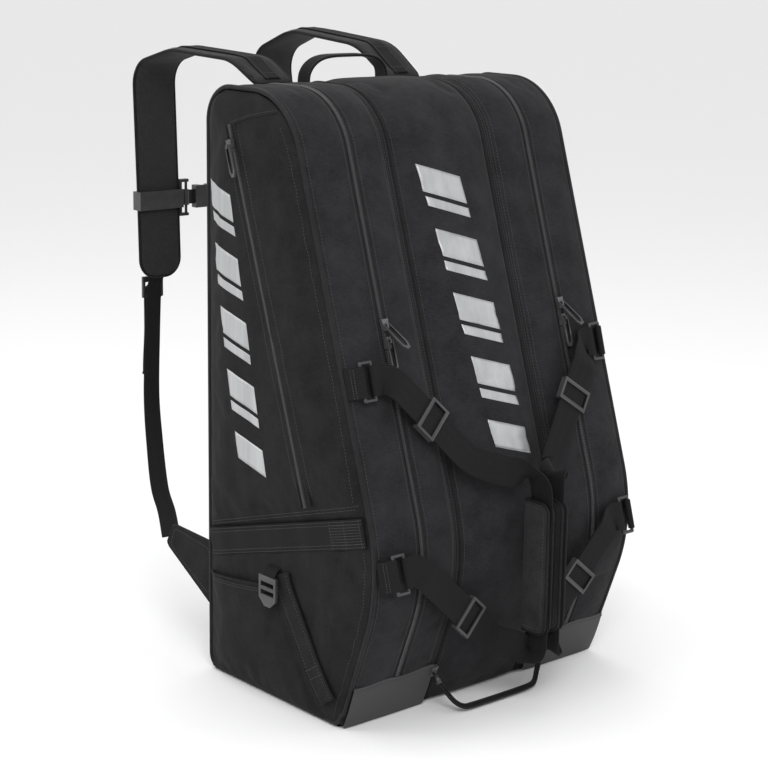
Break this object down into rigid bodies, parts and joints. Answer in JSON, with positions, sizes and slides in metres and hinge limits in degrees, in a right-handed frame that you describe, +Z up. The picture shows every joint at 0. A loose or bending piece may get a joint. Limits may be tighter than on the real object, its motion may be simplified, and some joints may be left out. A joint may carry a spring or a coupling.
{
  "type": "racket tournament bag",
  "caption": "Tall upright racket bag with zipped compartments, side pocket, webbing carry handles with padded grips and padded shoulder straps.",
  "frame": {"origin": "on the floor under the standing bag, on its plane of symmetry, at the middle of the base between the shell's front foot and back panel", "axes": "+Z up, -Y towards the front with the carry handles, +Y towards the back with the shoulder straps, +X to the bag's right as seen from the front"},
  "size_m": [0.4867, 0.701, 0.824],
  "materials": {
    "base_panel": "dark grey coated fabric, satin",
    "back_panel": "matte woven polyester",
    "left_outer_front": "matte woven polyester",
    "left_inner_front": "matte woven polyester",
    "centre_front": "matte woven polyester",
    "right_inner_front": "matte woven polyester",
    "right_outer_front": "matte woven polyester",
    "left_base_guard": "dark grey coated fabric, satin",
    "right_base_guard": "dark grey coated fabric, satin",
    "main_zips": "woven zip tape with nylon coil",
    "centre_seams": "ribbed polyester webbing",
    "side_pipings": "glossy moulded piping",
    "left_side_panel": "plain black lining over a foam board",
    "right_side_panel": "plain black lining over a foam board",
    "dividers": "plain black lining over a foam board",
    "left_pocket_cover": "smooth dark polyester",
    "right_side_cover": "smooth dark polyester",
    "side_bands": "ribbed polyester webbing",
    "shoe_pocket": "smooth dark polyester",
    "shoe_pocket_strap": "ribbed polyester webbing",
    "pocket_zip": "woven zip tape with nylon coil",
    "anchor_tabs": "ribbed polyester webbing",
    "strap_wings": "ribbed polyester webbing",
    "left_upper_slider": "black painted die-cast",
    "left_upper_pull": "black painted die-cast",
    "left_lower_slider": "black painted die-cast",
    "left_lower_pull": "black painted die-cast",
    "right_upper_slider": "black painted die-cast",
    "right_upper_pull": "black painted die-cast",
    "right_lower_slider": "black painted die-cast",
    "right_lower_pull": "black painted die-cast",
    "left_pocket_slider": "black painted die-cast",
    "left_pocket_pull": "black painted die-cast",
    "left_centre_slider": "black painted die-cast",
    "right_centre_slider": "black painted die-cast",
    "centre_pull_loop": "ribbed polyester webbing",
    "left_handle_rings": "moulded acetal, satin to gloss",
    "left_handle_webbing": "ribbed polyester webbing",
    "left_grip": "smooth dark polyester",
    "left_upper_glide": "moulded acetal, satin to gloss",
    "left_lower_glide": "moulded acetal, satin to gloss",
    "left_shoulder_pad": "spacer mesh over foam",
    "left_strap_webbing": "ribbed polyester webbing",
    "left_keeper": "moulded acetal, satin to gloss",
    "left_ladder_lock": "moulded acetal, satin to gloss",
    "right_handle_rings": "moulded acetal, satin to gloss",
    "right_handle_webbing": "ribbed polyester webbing",
    "right_grip": "smooth dark polyester",
    "right_upper_glide": "moulded acetal, satin to gloss",
    "right_lower_glide": "moulded acetal, satin to gloss",
    "right_shoulder_pad": "spacer mesh over foam",
    "right_strap_webbing": "ribbed polyester webbing",
    "right_keeper": "moulded acetal, satin to gloss",
    "right_ladder_lock": "moulded acetal, satin to gloss",
    "sternum_socket": "moulded acetal, satin to gloss",
    "sternum_webbing": "ribbed polyester webbing",
    "sternum_plug": "moulded acetal, satin to gloss",
    "haul_loop": "ribbed polyester webbing",
    "pocket_lock": "moulded acetal, satin to gloss"
  },
  "bodies": {
    "bag": {"base_panel": "base_panel", "back_panel": "back_panel", "left_outer_front": "left_outer_front", "left_inner_front": "left_inner_front", "centre_front": "centre_front", "right_inner_front": "right_inner_front", "right_outer_front": "right_outer_front", "left_base_guard": "left_base_guard", "right_base_guard": "right_base_guard", "main_zips": "main_zips", "centre_seams": "centre_seams", "side_pipings": "side_pipings", "left_side_panel": "left_side_panel", "right_side_panel": "right_side_panel", "dividers": "dividers", "left_pocket_cover": "left_pocket_cover", "right_side_cover": "right_side_cover", "side_bands": "side_bands", "shoe_pocket": "shoe_pocket", "shoe_pocket_strap": "shoe_pocket_strap", "pocket_zip": "pocket_zip", "anchor_tabs": "anchor_tabs", "strap_wings": "strap_wings"},
    "left_upper_zip_slider": {"left_upper_slider": "left_upper_slider"},
    "left_upper_zip_pull": {"left_upper_pull": "left_upper_pull"},
    "left_lower_zip_slider": {"left_lower_slider": "left_lower_slider"},
    "left_lower_zip_pull": {"left_lower_pull": "left_lower_pull"},
    "right_upper_zip_slider": {"right_upper_slider": "right_upper_slider"},
    "right_upper_zip_pull": {"right_upper_pull": "right_upper_pull"},
    "right_lower_zip_slider": {"right_lower_slider": "right_lower_slider"},
    "right_lower_zip_pull": {"right_lower_pull": "right_lower_pull"},
    "pocket_zip_slider": {"left_pocket_slider": "left_pocket_slider"},
    "pocket_zip_pull": {"left_pocket_pull": "left_pocket_pull"},
    "left_centre_runner": {"left_centre_slider": "left_centre_slider"},
    "right_centre_runner": {"right_centre_slider": "right_centre_slider"},
    "pull_loop": {"centre_pull_loop": "centre_pull_loop"},
    "left_carry_handle": {"left_handle_rings": "left_handle_rings", "left_handle_webbing": "left_handle_webbing", "left_grip": "left_grip"},
    "left_upper_triglide": {"left_upper_glide": "left_upper_glide"},
    "left_lower_triglide": {"left_lower_glide": "left_lower_glide"},
    "left_shoulder_strap": {"left_shoulder_pad": "left_shoulder_pad", "left_strap_webbing": "left_strap_webbing", "left_keeper": "left_keeper"},
    "left_strap_lock": {"left_ladder_lock": "left_ladder_lock"},
    "right_carry_handle": {"right_handle_rings": "right_handle_rings", "right_handle_webbing": "right_handle_webbing", "right_grip": "right_grip"},
    "right_upper_triglide": {"right_upper_glide": "right_upper_glide"},
    "right_lower_triglide": {"right_lower_glide": "right_lower_glide"},
    "right_shoulder_strap": {"right_shoulder_pad": "right_shoulder_pad", "right_strap_webbing": "right_strap_webbing", "right_keeper": "right_keeper"},
    "right_strap_lock": {"right_ladder_lock": "right_ladder_lock"},
    "sternum_strap": {"sternum_socket": "sternum_socket", "sternum_webbing": "sternum_webbing"},
    "sternum_buckle_plug": {"sternum_plug": "sternum_plug"},
    "grab_loop": {"haul_loop": "haul_loop"},
    "shoe_pocket_lock": {"pocket_lock": "pocket_lock"}
  },
  "joints": [
    {"name": "left_upper_zip_slide", "type": "slide", "parent": "bag", "child": "left_upper_zip_slider", "axis": [0, 0.304, 0.9527], "range_m": [0, 0.19]},
    {"name": "left_lower_zip_slide", "type": "slide", "parent": "bag", "child": "left_lower_zip_slider", "axis": [0, 0.304, 0.9527], "range_m": [-0.16, 0]},
    {"name": "left_upper_pull_swing", "type": "hinge", "parent": "left_upper_zip_slider", "child": "left_upper_zip_pull", "pos_m": [-0.15, -0.1299, 0.49828], "axis": [-0.9135, -0.1237, -0.3875], "range_deg": [0, 100]},
    {"name": "left_lower_pull_swing", "type": "hinge", "parent": "left_lower_zip_slider", "child": "left_lower_zip_pull", "pos_m": [-0.15, -0.13569, 0.48014], "axis": [-1, 0, 0], "range_deg": [0, 60]},
    {"name": "right_upper_zip_slide", "type": "slide", "parent": "bag", "child": "right_upper_zip_slider", "axis": [0, 0.304, 0.9527], "range_m": [0, 0.19]},
    {"name": "right_lower_zip_slide", "type": "slide", "parent": "bag", "child": "right_lower_zip_slider", "axis": [0, 0.304, 0.9527], "range_m": [-0.16, 0]},
    {"name": "right_upper_pull_swing", "type": "hinge", "parent": "right_upper_zip_slider", "child": "right_upper_zip_pull", "pos_m": [0.15, -0.13182, 0.49228], "axis": [-0.9135, -0.1237, -0.3875], "range_deg": [0, 100]},
    {"name": "right_lower_pull_swing", "type": "hinge", "parent": "right_lower_zip_slider", "child": "right_lower_zip_pull", "pos_m": [0.15, -0.13761, 0.47414], "axis": [-1, 0, 0], "range_deg": [0, 60]},
    {"name": "pocket_zip_slide", "type": "slide", "parent": "bag", "child": "pocket_zip_slider", "axis": [0, 0.3202, 0.9474], "range_m": [-0.41, 0]},
    {"name": "pocket_pull_swing", "type": "hinge", "parent": "pocket_zip_slider", "child": "pocket_zip_pull", "pos_m": [-0.2483, 0.05704, 0.70131], "axis": [0, 0.9474, -0.3202], "range_deg": [0, 120]},
    {"name": "left_centre_zip_slide", "type": "slide", "parent": "bag", "child": "left_centre_runner", "axis": [0, -0.342, 0.9397], "range_m": [0, 0.06]},
    {"name": "right_centre_zip_slide", "type": "slide", "parent": "bag", "child": "right_centre_runner", "axis": [0, -0.342, 0.9397], "range_m": [0, 0.06]},
    {"name": "pull_loop_swing", "type": "hinge", "parent": "left_centre_runner", "child": "pull_loop", "pos_m": [0, -0.16034, 0.04734], "axis": [-1, 0, 0], "range_deg": [0, 50]},
    {"name": "left_carry_handle_swing", "type": "hinge", "parent": "bag", "child": "left_carry_handle", "pos_m": [-0.205, -0.15034, 0.43917], "axis": [0, -0.278, -0.9606], "range_deg": [0, 110]},
    {"name": "left_upper_triglide_slide", "type": "slide", "parent": "left_carry_handle", "child": "left_upper_triglide", "axis": [0.6539, -0.23, -0.7208], "range_m": [-0.02, 0.02]},
    {"name": "left_lower_triglide_slide", "type": "slide", "parent": "left_carry_handle", "child": "left_lower_triglide", "axis": [0.7418, 0.0754, -0.6664], "range_m": [-0.02, 0.02]},
    {"name": "right_carry_handle_swing", "type": "hinge", "parent": "bag", "child": "right_carry_handle", "pos_m": [0.205, -0.15034, 0.43917], "axis": [0, 0.278, 0.9606], "range_deg": [0, 110]},
    {"name": "right_upper_triglide_slide", "type": "slide", "parent": "right_carry_handle", "child": "right_upper_triglide", "axis": [-0.6095, -0.241, -0.7553], "range_m": [-0.02, 0.02]},
    {"name": "right_lower_triglide_slide", "type": "slide", "parent": "right_carry_handle", "child": "right_lower_triglide", "axis": [-0.6427, 0.0838, -0.7615], "range_m": [-0.02, 0.02]},
    {"name": "left_strap_swing", "type": "hinge", "parent": "bag", "child": "left_shoulder_strap", "pos_m": [-0.11, 0.144, 0.767], "axis": [0.166, -0.1468, 0.9751], "range_deg": [-5, 5]},
    {"name": "right_strap_swing", "type": "hinge", "parent": "bag", "child": "right_shoulder_strap", "pos_m": [0.11, 0.144, 0.767], "axis": [-0.166, -0.1468, 0.9751], "range_deg": [-5, 5]},
    {"name": "sternum_strap_swing", "type": "hinge", "parent": "left_shoulder_strap", "child": "sternum_strap", "pos_m": [-0.0635, 0.4086, 0.587], "axis": [0, 0, 1], "range_deg": [-12, 12]},
    {"name": "sternum_plug_slide", "type": "slide", "parent": "sternum_strap", "child": "sternum_buckle_plug", "axis": [1, 0, 0], "range_m": [0, 0.024]},
    {"name": "left_ladder_lock_tilt", "type": "hinge", "parent": "left_shoulder_strap", "child": "left_strap_lock", "pos_m": [-0.111, 0.4254, 0.474], "axis": [1, 0, 0], "range_deg": [0, 25]},
    {"name": "right_ladder_lock_tilt", "type": "hinge", "parent": "right_shoulder_strap", "child": "right_strap_lock", "pos_m": [0.111, 0.4254, 0.474], "axis": [1, 0, 0], "range_deg": [0, 25]},
    {"name": "haul_loop_swing", "type": "hinge", "parent": "bag", "child": "grab_loop", "pos_m": [0, 0.143, 0.752], "axis": [1, 0, 0], "range_deg": [-80, 12]},
    {"name": "pocket_lock_swing", "type": "hinge", "parent": "bag", "child": "shoe_pocket_lock", "pos_m": [-0.2405, -0.014, 0.168], "axis": [0, 1, 0], "range_deg": [0, 100]}
  ],
  "couplings": [
    {"joint": "right_centre_zip_slide", "follows": "left_centre_zip_slide", "ratio": 1},
    {"joint": "right_strap_swing", "follows": "left_strap_swing", "ratio": 1},
    {"joint": "sternum_strap_swing", "follows": "left_strap_swing", "ratio": -2.2}
  ]
}
